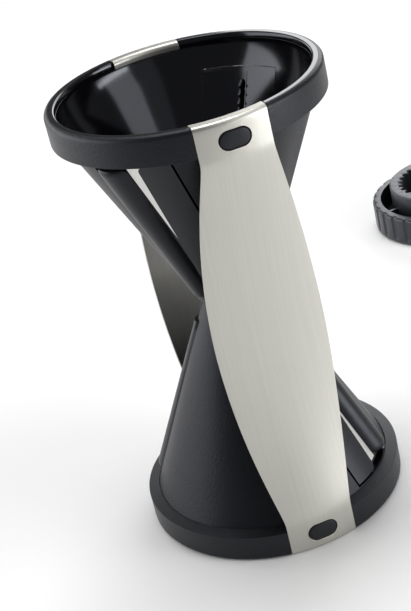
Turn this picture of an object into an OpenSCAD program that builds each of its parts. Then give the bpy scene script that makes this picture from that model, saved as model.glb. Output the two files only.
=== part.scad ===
// Hand-held twist slicer: two cutting funnels back to back, held by two steel bands, and a food holder.
// Millimetres, +Z up. The origin is on the slicer's axis, in the plane that it stands on.
// The front band faces -Y. The lower half is the upper half turned over about the Y axis.

/* [Body] */
// Overall height of the slicer
height = 138; // [128:1:146]
// Outside diameter of both rims
rim_d = 80; // [76:1:86]
// Outside diameter at the waist
waist_d = 18.6; // [17:0.2:22]
// Thickness of a funnel's cone, square to its surface
wall = 2.2; // [1.8:0.1:2.6]
// Thickness of a funnel's mouth inside its rim
mouth_wall = 1.2; // [1.1:0.1:1.6]
// Thickness of the floor that closes each funnel at the waist
floor_t = 3; // [2.6:0.2:5]
// Diameter of the peg that joins the funnels at the waist
peg_d = 8; // [6:0.5:10]
// Length of that peg
peg_len = 2; // [1.2:0.2:2.2]
// Clearance between pieces that are pushed together
fit_gap = 0.15; // [0.1:0.05:0.25]

/* [Rims] */
// Height of a rim's outer wall
rim_h = 8.5; // [8.2:0.1:10]
// Height of the slope from that wall to the funnel
shoulder_h = 0.8; // [0.3:0.1:1.5]
// Radial width of that slope
shoulder_w = 3.5; // [3:0.1:4]
// Radial thickness of a rim's wall
rim_wall = 2; // [1.8:0.1:2.6]
// Thickness of the flange that covers the funnel's mouth
flange_t = 1.6; // [1.5:0.1:2.4]
// Radius that rounds a rim's outer end edge
rim_round = 1; // [0.5:0.1:1.3]

/* [Bands] */
// Thickness of the steel
band_t = 0.8; // [0.6:0.1:0.9]
// Width of a band over the rims
band_end_w = 20.8; // [18:0.2:24]
// Width of a band at the waist
band_mid_w = 33.4; // [28:0.2:36]
// How far a band bows in from the rims to the waist
band_bow = 7.6; // [4:0.2:10]
// Length of the tab that is folded down inside a mouth
hook_len = 2.4; // [2:0.1:4]
// Part of the rim's roundness that a band keeps across its width at the waist
band_mid_crown = 0.3; // [0:0.05:0.6]
// Inside radius of a band's folds
fold_inner_r = 0.5; // [0.4:0.05:0.6]
// Straight length of a band past the rim's shoulder
band_tab = 1; // [0.5:0.1:2]
// Gap between a band and the recess that it lies in
band_gap = 0.25; // [0.2:0.05:0.3]
// Width of a stud
stud_w = 8.8; // [8:0.1:11]
// Height of a stud
stud_h = 5.1; // [4.5:0.1:5.8]
// Distance from a rim's end face to the middle of a stud
stud_from_end = 5.7; // [5:0.1:5.7]
// How far a stud stands out of the band
stud_proud = 0.35; // [0.2:0.05:0.6]
// Radius of a stud's domed face
stud_dome_r = 20; // [16:1:40]

/* [Cutting stations] */
// Direction of the upper slots, seen from above, from -Y towards -X
slot_turn = 43; // [38:1:48]
// Width of the panel beside a slot
panel_w = 9.7; // [8:0.1:11]
// Width of the panel at the waist end
panel_waist_w = 4.6; // [4:0.1:6]
// Height above the waist where the panel gets its full width
panel_taper_h = 34; // [28:1:40]
// Distance of the lip's outer edge from the panel at the mouth end
lip_mouth_w = 14.4; // [13:0.2:15.4]
// Distance of the lip's outer edge from the panel at the waist end
lip_waist_w = 7; // [6.6:0.1:7.4]
// How far the lip's crest stands out of the cone at the mouth end
lip_mouth_raise = 1.8; // [1.4:0.1:2.2]
// How far the lip's crest stands out of the cone at the waist end
lip_waist_raise = 0.8; // [0.5:0.1:1.2]
// Radius of the lip's rounded back at the mouth end
lip_mouth_r = 6; // [6:0.2:9]
// Radius of the lip's rounded back at the waist end
lip_waist_r = 4.2; // [4:0.1:6]
// Distance of the lip's crest from the panel at the mouth end
crest_mouth_w = 9; // [8:0.2:10]
// Distance of the lip's crest from the panel at the waist end
crest_waist_w = 3.8; // [3.2:0.1:4.4]
// Depth of the lip's inside below the cone
lip_depth = 2; // [1.6:0.1:2.2]
// Radius of the lip's corners at the mouth end
lip_end_r = 2.2; // [1:0.2:3.2]
// How much shorter than the panel the lip is at the mouth end
lip_short = 1; // [1:0.1:2.4]
// Width of a slot at the mouth end
slot_mouth_w = 4.6; // [3.6:0.1:5]
// Width of the gap between lip and panel below a slot
slot_gap = 0.4; // [0.3:0.05:0.6]
// Height above the waist where a slot starts to open
slot_low = 23; // [20:0.5:28]
// Radius of the panel's corner beside a slot
slot_round = 2; // [1:0.1:3]
// Groove round an insert
groove = 0.6; // [0.4:0.05:0.8]
// Distance from the rim's shoulder to the inserts
rim_margin = 0.8; // [0.7:0.1:3]
// Distance from the waist to the inserts
waist_margin = 6; // [5:0.5:8]
// Length of the strip that joins lip and panel at the waist end
end_strip = 3; // [2:0.2:4]

/* [Blades] */
// Thickness of a blade
blade_t = 0.6; // [0.4:0.1:0.7]
// Depth of a blade's outside below the cone
blade_depth = 1.2; // [1:0.1:1.3]
// Width of the slit between a blade's edge and the lip
blade_slit = 0.35; // [0.25:0.05:0.4]
// Width of a blade under the panel
blade_seat = 2.2; // [1.6:0.1:3]
// Distance of a blade's ends from the ends of its slot
blade_end_gap = 1; // [0.6:0.1:2]
// Thickness of a comb
comb_t = 0.6; // [0.4:0.1:0.8]
// Distance from a blade's edge back to its comb
comb_set = 1.2; // [0.8:0.1:1.8]
// Height of the comb's rail
comb_rail = 0.7; // [0.5:0.1:1]
// Height of the comb's teeth
comb_tooth = 1.6; // [1:0.1:2.2]
// Pitch of the upper funnel's comb, for thin strings
upper_pitch = 2.4; // [2:0.1:3]
// Pitch of the lower funnel's comb, for thick strings
lower_pitch = 3.6; // [3.2:0.1:4.5]

/* [Food holder] */
// Outside diameter of the knurled skirt
holder_d = 60; // [56:1:66]
// Height of the skirt as it lies
holder_h = 11.5; // [9:0.5:14]
// Thickness of the skirt
holder_wall = 3.4; // [3:0.1:4]
// Thickness of the cap's top, which lies on the table
holder_top = 2.4; // [2:0.1:3]
// Radius that rounds the skirt's edges
holder_edge = 1.2; // [0.8:0.1:1.4]
// Number of flutes round the skirt
flutes = 30; // [24:1:36]
// Depth of a flute
flute_depth = 0.7; // [0.4:0.1:1]
// Radius of a flute
flute_r = 2; // [1.6:0.1:2.4]
// Outside diameter of the sleeve
sleeve_d = 44; // [40:1:46]
// Diameter at the bottom of the sleeve's inner teeth
sleeve_bore = 36.4; // [32:0.2:37]
// Height of the sleeve's end above the table
sleeve_h = 17; // [15:0.5:22]
// Depth of the sleeve's inner teeth
tooth_depth = 1.6; // [1:0.1:2]
// Number of inner teeth
teeth = 30; // [24:1:36]
// Thickness of the ribs between skirt and sleeve
rib_t = 1.2; // [1:0.1:2]
// Number of those ribs
ribs = 6; // [4:1:8]
// Place of the holder on the table, sideways
holder_x = 133; // [120:1:150]
// Place of the holder on the table, behind the slicer
holder_y = 134; // [120:1:150]

/* [Hidden] */
$fn = 96;

// Room that a cutting tool takes past the faces that it cuts
over = 1;
half = height / 2;
rim_r = rim_d / 2;
waist_r = waist_d / 2;
rim_inner_r = rim_r - rim_wall;
mouth_r = rim_inner_r - fit_gap;
mouth_inner_r = mouth_r - mouth_wall;
// Height above the waist where the rim's shoulder meets the cone
cone_end = half - rim_h - shoulder_h;
shoulder_r = rim_r - shoulder_w;
cone_slope = (shoulder_r - fit_gap - waist_r) / cone_end;
// Height above the waist where the cone, inside the rim, has grown to the mouth
mouth_start = (mouth_r - waist_r) / cone_slope;
// Thickness of the cone measured level
wall_level = wall * sqrt(1 + cone_slope * cone_slope);
mouth_end = half - flange_t - fit_gap;

// Radius of the funnel's outside at a height above the waist
function cone_r(z) = waist_r + cone_slope * z;

// Points of a circular arc, from one angle to another
function arc(x, y, r, from, to, steps = 6) =
    [for (i = [0:steps]) let (a = from + (to - from) * i / steps) [x + r * cos(a), y + r * sin(a)]];

// Turns a half's shape over for the lower funnel, or leaves it for the upper one
module in_half(upper) {
    translate([0, 0, half]) rotate([0, upper ? 0 : 180, 0]) children();
}

// A cone's skin between two level depths below the funnel's outside
module cone_skin(outer_depth, inner_depth) {
    rotate_extrude() polygon([
        [waist_r - outer_depth, 0],
        [cone_r(half) - outer_depth, half],
        [cone_r(half) - inner_depth, half],
        [max(0, waist_r - inner_depth), 0]
    ]);
}

// A flat outline in X and Z, cut through the wall that faces -Y
module through_wall() {
    rotate([90, 0, 0]) linear_extrude(rim_r + over) children();
}

// Funnels

station_top = cone_end - rim_margin;

// Left edge of an insert at a height above the waist
function lip_edge(z) =
    -lip_waist_w - (lip_mouth_w - lip_waist_w) * (z - waist_margin) / (station_top - waist_margin);

// Outline of an insert as seen from outside, grown by a margin
module insert_outline(grow) {
    top = station_top + grow;
    low = waist_margin - grow;
    polygon([
        [-lip_waist_w - grow, low], [panel_waist_w + grow, low], [panel_w + grow, panel_taper_h],
        [panel_w + grow, top], [-lip_mouth_w - grow, top]
    ]);
}

module stations() {
    for (turn = [-slot_turn, 180 - slot_turn]) rotate([0, 0, turn]) children();
}

module funnel(upper) {
    inner_end = (mouth_inner_r - waist_r + wall_level) / cone_slope;
    in_half(upper) difference() {
        rotate_extrude() polygon([
            [0, 0], [waist_r, 0], [mouth_r, mouth_start], [mouth_r, mouth_end],
            [mouth_inner_r, mouth_end], [mouth_inner_r, inner_end],
            [cone_r(floor_t) - wall_level, floor_t], [0, floor_t]
        ]);
        stations() through_wall() insert_outline(groove);
        if (!upper) translate([0, 0, -over])
            cylinder(d = peg_d + 2 * fit_gap, h = peg_len + fit_gap + over);
    }
}

module upper_funnel() {
    color("#26272b") union() {
        funnel(true);
        translate([0, 0, half - peg_len]) cylinder(d = peg_d, h = peg_len + floor_t / 2);
    }
}

module lower_funnel() {
    color("#26272b") funnel(false);
}

// Rims

band_mid_r = rim_r - band_t / 2;
recess_r = rim_r - band_t - band_gap;
recess_end = band_t + band_gap;
stud_flat = stud_w - stud_h;

// A stud's outline, grown by a margin
module stud_outline(grow) {
    square([stud_flat, stud_h + 2 * grow], center = true);
    for (side = [-1, 1]) translate([side * stud_flat / 2, 0]) circle(d = stud_h + 2 * grow);
}

// A stud's prism through the rim that faces -Y, with the rim's end face at z = 0
module stud_prism(grow) {
    translate([0, 0, stud_from_end]) through_wall() stud_outline(grow);
}

module rim_section() {
    polygon(concat(
        arc(rim_r - rim_round, rim_round, rim_round, -90, 0),
        [
            [rim_r, rim_h], [shoulder_r, rim_h + shoulder_h], [rim_inner_r, half - mouth_start],
            [rim_inner_r, flange_t], [mouth_inner_r, flange_t],
            [mouth_inner_r + cone_slope * flange_t, 0]
        ]
    ));
}

// The recess that a band lies in on the side that faces -Y
module band_recess() {
    recess_w = band_end_w + 2 * band_gap;
    intersection() {
        translate([-recess_w / 2, -rim_r - over, -over])
            cube([recess_w, rim_r, rim_h + shoulder_h + 2 * over]);
        union() {
            translate([0, 0, -over]) cylinder(r = rim_r + over, h = recess_end + over);
            difference() {
                cylinder(r = rim_r + over, h = rim_h + shoulder_h + over);
                translate([0, 0, -over]) cylinder(r = recess_r, h = rim_h + shoulder_h + 3 * over);
            }
        }
    }
}

module rim() {
    difference() {
        rotate_extrude() rim_section();
        for (turn = [0, 180]) rotate([0, 0, turn]) {
            band_recess();
            stud_prism(fit_gap);
        }
    }
}

// Places a rim's shapes at the top or at the base
module at_end(top) {
    translate([0, 0, top ? height : 0]) rotate([0, top ? 180 : 0, 0]) children();
}

module upper_rim() {
    color("#3a3b3f") at_end(true) rim();
}

module base_rim() {
    color("#3a3b3f") at_end(false) rim();
}

// Bands

fold_r = band_t / 2 + fold_inner_r;
hook_r = mouth_inner_r - band_gap - band_t / 2;
tab_end = rim_h + shoulder_h + band_tab;
// Stretches along half a band, and cells across it
band_steps = 22;
band_cells = 8;
// Share of the half length over which a band bends away from its tab
bend_share = 0.05;

// Quick start and slow finish, from 0 at a tab's end to 1 at the waist
function ease(t) = (1 + bend_share) * (1 - (1 - t) * (1 - t)) * t / (t + bend_share);

// Stations along the lower half of a band: radius, height, half width and crown
function band_half() =
    let (end_w = band_end_w / 2, mid_w = band_mid_w / 2, end_z = band_t / 2)
    concat(
        [[hook_r, hook_len, end_w, 1], [hook_r, (hook_len + fold_r) / 2, end_w, 1]],
        [for (p = arc(hook_r + fold_r, end_z + fold_r, fold_r, 180, 270, 4)) [p[0], p[1], end_w, 1]],
        [for (p = arc(band_mid_r - fold_r, end_z + fold_r, fold_r, -90, 0, 4)) [p[0], p[1], end_w, 1]],
        [for (i = [0:band_steps]) let (t = i / band_steps, e = ease(t)) [
            band_mid_r - band_bow * e,
            tab_end + (half - tab_end) * t,
            end_w + (mid_w - end_w) * e,
            1 - (1 - band_mid_crown) * e
        ]]
    );

function band_path() =
    let (low = band_half(), n = len(low))
    concat(low, [for (i = [n - 2:-1:0]) [low[i][0], height - low[i][1], low[i][2], low[i][3]]]);

// Unit normal of the path at a station, to the right of the way that it runs
function path_normal(path, i) =
    let (
        a = path[max(0, i - 1)],
        b = path[min(len(path) - 1, i + 1)],
        dr = b[0] - a[0],
        dz = b[1] - a[1],
        d = sqrt(dr * dr + dz * dz)
    ) [dz / d, -dr / d];

// A point across the band, with x from one edge to the other and the rim's roundness times the crown
function band_point(r, z, x, crown) = [x, -r + crown * (r - sqrt(r * r - x * x)), z];

// One closed ring of points round the band's section at a station
function band_ring(path, i) =
    let (s = path[i], n = path_normal(path, i), h = band_t / 2)
    concat(
        [for (j = [0:band_cells])
            band_point(s[0] + h * n[0], s[1] + h * n[1], s[2] * (2 * j / band_cells - 1), s[3])],
        [for (j = [band_cells:-1:0])
            band_point(s[0] - h * n[0], s[1] - h * n[1], s[2] * (2 * j / band_cells - 1), s[3])]
    );

// Closed band swept along its path, with flat ends
module band_sheet() {
    path = band_path();
    rings = len(path);
    side = 2 * band_cells + 2;
    last = (rings - 1) * side;
    points = [for (i = [0:rings - 1]) each band_ring(path, i)];
    walls = [for (i = [0:rings - 2], j = [0:side - 1]) let (
            k = (j + 1) % side,
            a = i * side + j,
            b = i * side + k,
            c = a + side,
            d = b + side
        ) each [[a, c, b], [b, c, d]]];
    caps = [for (j = [0:band_cells - 1]) let (k = side - 1 - j) each [
            [j, j + 1, k],
            [j + 1, k - 1, k],
            [last + j, last + k, last + j + 1],
            [last + j + 1, last + k, last + k - 1]
        ]];
    polyhedron(points, concat(walls, caps));
}

module band() {
    color("#c9c6c0") difference() {
        band_sheet();
        for (top = [true, false]) at_end(top) intersection() {
            stud_prism(band_gap);
            difference() {
                cylinder(r = rim_r + over, h = tab_end + over);
                translate([0, 0, -over]) cylinder(r = rim_inner_r, h = tab_end + 3 * over);
            }
        }
    }
}

module front_band() {
    band();
}

module rear_band() {
    rotate([0, 0, 180]) band();
}

// A stud seated on the funnel's mouth, with a domed face
module stud(top, turn) {
    color("#2b2c2f") rotate([0, 0, turn]) at_end(top) intersection() {
        stud_prism(0);
        translate([0, stud_dome_r - rim_r - stud_proud, stud_from_end]) sphere(r = stud_dome_r);
        difference() {
            cylinder(r = rim_r + over, h = tab_end + over);
            translate([0, 0, -over]) cylinder(r = mouth_r + fit_gap, h = tab_end + 3 * over);
        }
    }
}

// Cutting stations

// Point on the axis of the lip's rounded back, at a height above the waist
function back_axis(z, x, raise, r) =
    let (level_r = r * sqrt(1 + cone_slope * cone_slope))
    [-x, level_r - raise - sqrt(cone_r(z) * cone_r(z) - x * x), z];

// The lip's rounded back: a slim cone that lies along the funnel, longer than the lip at both ends
module lip_back() {
    a = back_axis(waist_margin, crest_waist_w, lip_waist_raise, lip_waist_r);
    b = back_axis(station_top, crest_mouth_w, lip_mouth_raise, lip_mouth_r);
    way = b - a;
    span = norm(way);
    spare = lip_mouth_r / span;
    taper = lip_mouth_r - lip_waist_r;
    translate(a - spare * way) rotate([0, acos(way[2] / span), atan2(way[1], way[0])])
        cylinder(
            r1 = lip_waist_r - spare * taper,
            r2 = lip_mouth_r + spare * taper,
            h = span * (1 + 2 * spare)
        );
}

// Edge of the lip beside the panel at a height above the waist
function slot_edge(z) =
    -slot_gap - (slot_mouth_w - slot_gap) * max(0, z - slot_low) / (station_top - slot_low);

module lip_outline() {
    top = station_top - lip_short;
    left = lip_edge(top);
    right = slot_edge(top);
    polygon(concat(
        [[-lip_waist_w, waist_margin], [-slot_gap, waist_margin], [-slot_gap, slot_low]],
        arc(right - lip_end_r, top - lip_end_r, lip_end_r, 0, 90),
        arc(left + lip_end_r, top - lip_end_r, lip_end_r, 90, 180)
    ));
}

module panel_outline() {
    polygon(concat(
        [[0, waist_margin], [panel_w, waist_margin], [panel_w, station_top]],
        arc(slot_round, station_top - slot_round, slot_round, 90, 180)
    ));
}

blade_low = slot_low + blade_end_gap;
blade_top = station_top - blade_end_gap;
// Depth of the skin that covers a blade from inside
skin_depth = blade_depth + blade_t + fit_gap;

function blade_edge(z) = slot_edge(z) + blade_slit;

// A blade's outline, grown by a margin
module blade_outline(grow) {
    polygon([
        [blade_edge(blade_low) - grow, blade_low - grow], [blade_seat + grow, blade_low - grow],
        [blade_seat + grow, blade_top + grow], [blade_edge(blade_top) - grow, blade_top + grow]
    ]);
}

module slit_outline() {
    polygon([
        [slot_edge(blade_low), blade_low], [blade_edge(blade_low), blade_low],
        [blade_edge(blade_top), blade_top], [slot_edge(blade_top), blade_top]
    ]);
}

module carrier() {
    color("#1d1e21") union() {
        // Panel and end strip, flush with the cone, with a pocket for the blade
        difference() {
            intersection() {
                cone_skin(0, wall_level);
                through_wall() intersection() {
                    insert_outline(0);
                    union() {
                        panel_outline();
                        translate([-lip_mouth_w, waist_margin]) square([lip_mouth_w + panel_w, end_strip]);
                    }
                }
            }
            intersection() {
                cone_skin(blade_depth - fit_gap, skin_depth);
                through_wall() blade_outline(fit_gap);
            }
        }
        // Back skin, which closes the insert from inside but for the slit at the blade's edge
        intersection() {
            cone_skin(skin_depth, wall_level);
            through_wall() difference() {
                insert_outline(groove - fit_gap);
                slit_outline();
            }
        }
        // Root of the lip, which joins it to the back skin
        intersection() {
            cone_skin(lip_depth - fit_gap, wall_level);
            through_wall() lip_outline();
        }
        // Lip
        intersection() {
            lip_back();
            cone_skin(-lip_mouth_raise - lip_waist_raise - over, lip_depth);
            through_wall() lip_outline();
        }
    }
}

// A blade between the panel and the back skin, with its edge along the slot's
module blade() {
    color("#d8d8d6") intersection() {
        cone_skin(blade_depth, blade_depth + blade_t);
        through_wall() blade_outline(0);
    }
}

function comb_x(z) = blade_edge(z) + comb_set;

// Distance of a comb's point from the axis plane, at a height above the waist and a depth below the cone
function comb_y(z, depth) =
    let (x = comb_x(z), r = cone_r(z) - depth) -sqrt(r * r - x * x);

// A toothed plate inside the back skin, turned to run along a blade's edge
module comb(upper) {
    pitch = upper ? upper_pitch : lower_pitch;
    low = blade_low + blade_end_gap;
    high = blade_top - blade_end_gap;
    lean = atan2(comb_x(high) - comb_x(low), high - low);
    step = pitch * cos(lean);
    count = floor((high - low) / step);
    base = wall_level + fit_gap;
    root = base + comb_rail;
    tip = root + comb_tooth;
    rail = [for (i = [0:count]) [comb_y(low + i * step, base), i * pitch]];
    saw = [for (i = [count - 1:-1:0]) each [
            [comb_y(low + (i + 1) * step, root), (i + 1) * pitch],
            [comb_y(low + (i + 0.5) * step, tip), (i + 0.5) * pitch]
        ]];
    color("#bdbdba") translate([comb_x(low), 0, low]) rotate([0, lean, 0])
        translate([-comb_t / 2, 0, 0]) rotate([90, 0, 90])
            linear_extrude(comb_t) polygon(concat(rail, saw, [[comb_y(low, root), 0]]));
}

// Places a station's pieces: left is the station on the -X side of the upper funnel
module at_station(upper, first) {
    in_half(upper) rotate([0, 0, first ? -slot_turn : 180 - slot_turn]) children();
}

// Food holder, upside down as it lies

module on_table() {
    translate([holder_x, holder_y, 0]) children();
}

holder_r = holder_d / 2;
skirt_inner_r = holder_r - holder_wall;
sleeve_r = sleeve_d / 2;

module holder_cap() {
    rib_len = skirt_inner_r + holder_edge - sleeve_r - fit_gap;
    color("#3a3b40") on_table() difference() {
        union() {
            rotate_extrude() polygon(concat(
                [[0, 0]],
                arc(holder_r - holder_edge, holder_edge, holder_edge, -90, 0),
                arc(holder_r - holder_edge, holder_h - holder_edge, holder_edge, 0, 90),
                [[skirt_inner_r, holder_h], [skirt_inner_r, holder_top], [0, holder_top]]
            ));
            for (i = [0:ribs - 1]) rotate([0, 0, (i + 0.5) * 360 / ribs])
                translate([sleeve_r + fit_gap, -rib_t / 2, holder_top / 2])
                    cube([rib_len, rib_t, holder_h - holder_top - holder_edge]);
        }
        for (i = [0:flutes - 1]) rotate([0, 0, i * 360 / flutes])
            translate([holder_r + flute_r - flute_depth, 0, holder_edge])
                cylinder(r = flute_r, h = holder_h, $fn = 32);
    }
}

module holder_sleeve() {
    bore_r = sleeve_bore / 2;
    step = 360 / teeth;
    saw = [for (i = [0:teeth - 1]) each [
            bore_r * [cos(i * step), sin(i * step)],
            bore_r * [cos((i + 0.3) * step), sin((i + 0.3) * step)],
            (bore_r - tooth_depth) * [cos((i + 0.65) * step), sin((i + 0.65) * step)]
        ]];
    color("#45464b") on_table() translate([0, 0, holder_top])
        linear_extrude(sleeve_h - holder_top) difference() {
            circle(r = sleeve_r);
            polygon(saw);
        }
}

upper_funnel();
lower_funnel();
upper_rim();
base_rim();
front_band();
rear_band();
stud(true, 0);  // front_top_stud
stud(false, 0);  // front_base_stud
stud(true, 180);  // rear_top_stud
stud(false, 180);  // rear_base_stud
at_station(true, true) carrier();  // upper_left_carrier
at_station(true, false) carrier();  // upper_right_carrier
at_station(false, false) carrier();  // lower_left_carrier
at_station(false, true) carrier();  // lower_right_carrier
at_station(true, true) blade();  // upper_left_blade
at_station(true, false) blade();  // upper_right_blade
at_station(false, false) blade();  // lower_left_blade
at_station(false, true) blade();  // lower_right_blade
at_station(true, true) comb(true);  // upper_left_comb
at_station(true, false) comb(true);  // upper_right_comb
at_station(false, false) comb(false);  // lower_left_comb
at_station(false, true) comb(false);  // lower_right_comb
holder_cap();
holder_sleeve();
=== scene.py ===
"""Looks of a hand-held twist slicer: two cutting funnels, two steel bands and a food holder.

Each operator makes one piece, or one group of like pieces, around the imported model. Sizes are metres.
"""

import math

import bmesh
import bpy
import numpy as np
from bpy.props import FloatProperty, FloatVectorProperty, IntProperty, PointerProperty
from bpy.types import NodeSocket, Operator, Panel, PropertyGroup
from mathutils import Matrix, Vector


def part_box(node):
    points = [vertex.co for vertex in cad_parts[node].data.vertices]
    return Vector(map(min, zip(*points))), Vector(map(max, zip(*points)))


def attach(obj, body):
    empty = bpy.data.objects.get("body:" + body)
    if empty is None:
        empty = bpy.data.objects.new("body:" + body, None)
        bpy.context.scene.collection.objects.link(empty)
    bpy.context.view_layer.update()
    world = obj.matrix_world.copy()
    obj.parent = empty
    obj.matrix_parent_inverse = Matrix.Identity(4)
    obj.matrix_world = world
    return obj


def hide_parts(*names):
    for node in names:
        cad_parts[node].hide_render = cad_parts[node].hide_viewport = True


bl_info = {
    "name": "Twist slicer",
    "version": (1, 0, 0),
    "blender": (4, 5, 0),
    "location": "View3D > Sidebar > Slicer",
    "description": "Makes the visible pieces, finishes and studio of a hand-held twist slicer",
    "category": "Object",
}

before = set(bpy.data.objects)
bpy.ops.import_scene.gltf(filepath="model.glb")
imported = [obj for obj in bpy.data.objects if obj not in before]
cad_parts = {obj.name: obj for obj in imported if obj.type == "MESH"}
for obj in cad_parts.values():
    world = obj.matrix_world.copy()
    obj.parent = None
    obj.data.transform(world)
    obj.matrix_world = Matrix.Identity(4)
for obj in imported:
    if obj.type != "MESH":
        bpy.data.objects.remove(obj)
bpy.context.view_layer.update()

MM = 0.001
# The picture's width and height in pixels
PICTURE = (411, 611)
# Points closer than this are one point
MERGE = 0.002 * MM
# Edges that turn more than this keep a crease
CREASE = math.radians(40)


# Settings

def size(name, description, millimetres):
    """A length whose default is written in millimetres."""
    return FloatProperty(
        name=name, description=description, default=millimetres * MM, unit="LENGTH", precision=5
    )


def turn(name, description, degrees):
    """An angle whose default is written in degrees."""
    return FloatProperty(
        name=name, description=description, default=math.radians(degrees), unit="ROTATION"
    )


def linear(hex_code):
    """Linear colour of an sRGB hex value."""
    srgb = np.array([int(hex_code[i:i + 2], 16) for i in (1, 3, 5)]) / 255
    return tuple(np.where(srgb <= 0.04045, srgb / 12.92, ((srgb + 0.055) / 1.055) ** 2.4))


def colour(name, description, hex_code):
    """A colour whose default is written as an sRGB hex value."""
    return FloatVectorProperty(
        name=name, description=description, default=linear(hex_code), subtype="COLOR", min=0, max=1
    )


def extent(node, axis):
    """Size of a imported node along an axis, in millimetres."""
    low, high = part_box(node)
    return (high[axis] - low[axis]) / MM


class BodySizes(PropertyGroup):
    """Sizes of the two funnels."""

    height: size("Height", "Overall height of the slicer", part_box("upper_rim")[1].z / MM)
    rim_d: size("Rim diameter", "Outside diameter of both rims", extent("upper_rim", 0))
    waist_d: size("Waist diameter", "Outside diameter at the waist", 18.6)
    wall: size("Wall", "Thickness of a funnel's cone, square to its surface", 2.2)
    mouth_wall: size("Mouth wall", "Thickness of a funnel's mouth inside its rim", 1.2)
    floor_t: size("Floor", "Thickness of the floor that closes a funnel at the waist", 3)
    peg_d: size("Peg diameter", "Diameter of the peg that joins the funnels", 8)
    peg_len: size("Peg length", "Length of that peg", 2)
    fit_gap: size("Fit gap", "Clearance between pieces that are pushed together", 0.15)


class RimSizes(PropertyGroup):
    """Sizes of the two rims."""

    rim_h: size("Wall height", "Height of a rim's outer wall", 8.5)
    shoulder_h: size("Shoulder height", "Height of the slope from that wall to the funnel", 0.8)
    shoulder_w: size("Shoulder width", "Radial width of that slope", 3.5)
    rim_wall: size("Wall", "Radial thickness of a rim's wall", 2)
    flange_t: size("Flange", "Thickness of the flange over the funnel's mouth", 1.6)
    inner_round: size("Inner rounding", "Radius that rounds a rim's inner end edge", 0.6)
    round_w: size("Rounding width", "Radial width of a rim's rounded end", 1.4)
    round_h: size("Rounding height", "Height of a rim's rounded end", 1.4)


class BandSizes(PropertyGroup):
    """Sizes of the steel bands and of the studs that hold them."""

    band_t: size("Thickness", "Thickness of the steel", 0.8)
    end_w: size("End width", "Width of a band over the rims", 20.8)
    mid_w: size("Middle width", "Width of a band at the waist", 33.4)
    bow: size("Bow", "How far a band bows in from the rims to the waist", 7.6)
    hook_len: size("Hook", "Length of the tab that is folded down inside a mouth", 2.4)
    mid_crown: FloatProperty(
        name="Middle crown", description="Share of the rim's roundness left at the waist", default=0.3,
        subtype="FACTOR", min=0, max=1
    )
    fold_inner_r: size("Fold radius", "Inside radius of a band's folds", 0.5)
    tab: size("Tab", "Straight length of a band past the rim's shoulder", 1)
    gap: size("Gap", "Gap between a band and its recess", 0.25)
    stud_w: size("Stud width", "Width of a stud", 8.8)
    stud_h: size("Stud height", "Height of a stud", 5.1)
    stud_from_end: size("Stud place", "Distance from a rim's end to the middle of a stud", 5.7)
    stud_proud: size("Stud proud", "How far a stud stands out of the band", 0.35)
    stud_dome_r: size("Stud dome", "Radius of a stud's domed face", 20)


class StationSizes(PropertyGroup):
    """Sizes of the cutting stations."""

    slot_turn: turn("Slot turn", "Direction of the upper slots, from the front towards -X", 43)
    panel_w: size("Panel width", "Width of the panel beside a slot", 9.7)
    panel_waist_w: size("Panel at waist", "Width of the panel at the waist end", 4.6)
    panel_taper_h: size("Panel taper", "Height above the waist where the panel gets its full width", 34)
    lip_mouth_w: size("Lip edge at mouth", "From the panel to the lip's edge at the mouth", 14.4)
    lip_waist_w: size("Lip edge at waist", "From the panel to the lip's edge at the waist", 7)
    lip_mouth_raise: size("Lip raise at mouth", "How far the lip's crest stands out at the mouth", 1.8)
    lip_waist_raise: size("Lip raise at waist", "How far the lip's crest stands out at the waist", 0.8)
    lip_mouth_r: size("Lip radius at mouth", "Radius of the lip's rounded back at the mouth", 6)
    lip_waist_r: size("Lip radius at waist", "Radius of the lip's rounded back at the waist", 4.2)
    crest_mouth_w: size("Crest at mouth", "From the panel to the lip's crest at the mouth", 9)
    crest_waist_w: size("Crest at waist", "From the panel to the lip's crest at the waist", 3.8)
    lip_depth: size("Lip depth", "Depth of the lip's inside below the cone", 2)
    lip_end_r: size("Lip corner", "Radius of the lip's corners at the mouth end", 2.2)
    lip_short: size("Lip short", "How much shorter than the panel the lip is at the mouth end", 1)
    slot_mouth_w: size("Slot at mouth", "Width of a slot at the mouth end", 4.6)
    slot_gap: size("Slot gap", "Width of the gap between lip and panel below a slot", 0.4)
    slot_low: size("Slot start", "Height above the waist where a slot starts to open", 23)
    slot_round: size("Slot corner", "Radius of the panel's corner beside a slot", 2)
    groove: size("Groove", "Groove round an insert", 0.6)
    rim_margin: size("Rim margin", "Distance from the rim's shoulder to the inserts", 0.8)
    waist_margin: size("Waist margin", "Distance from the waist to the inserts", 6)
    end_strip: size("End strip", "Length of the strip that joins lip and panel at the waist", 3)
    dome_depth: size("Dome", "How far the lip's end is domed down at the mouth", 1.4)
    lip_thin: size("Lip edge", "Least thickness of the lip", 0.3)
    blade_t: size("Blade thickness", "Thickness of a blade", 0.6)
    blade_depth: size("Blade depth", "Depth of a blade's outside below the cone", 1.2)
    blade_slit: size("Blade slit", "Width of the slit between a blade's edge and the lip", 0.35)
    blade_seat: size("Blade seat", "Width of a blade under the panel", 2.2)
    blade_end_gap: size("Blade end gap", "Distance from a blade's ends to the ends of its slot", 1)
    ground_w: size("Ground width", "Width of a blade's ground edge", 1.8)


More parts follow.
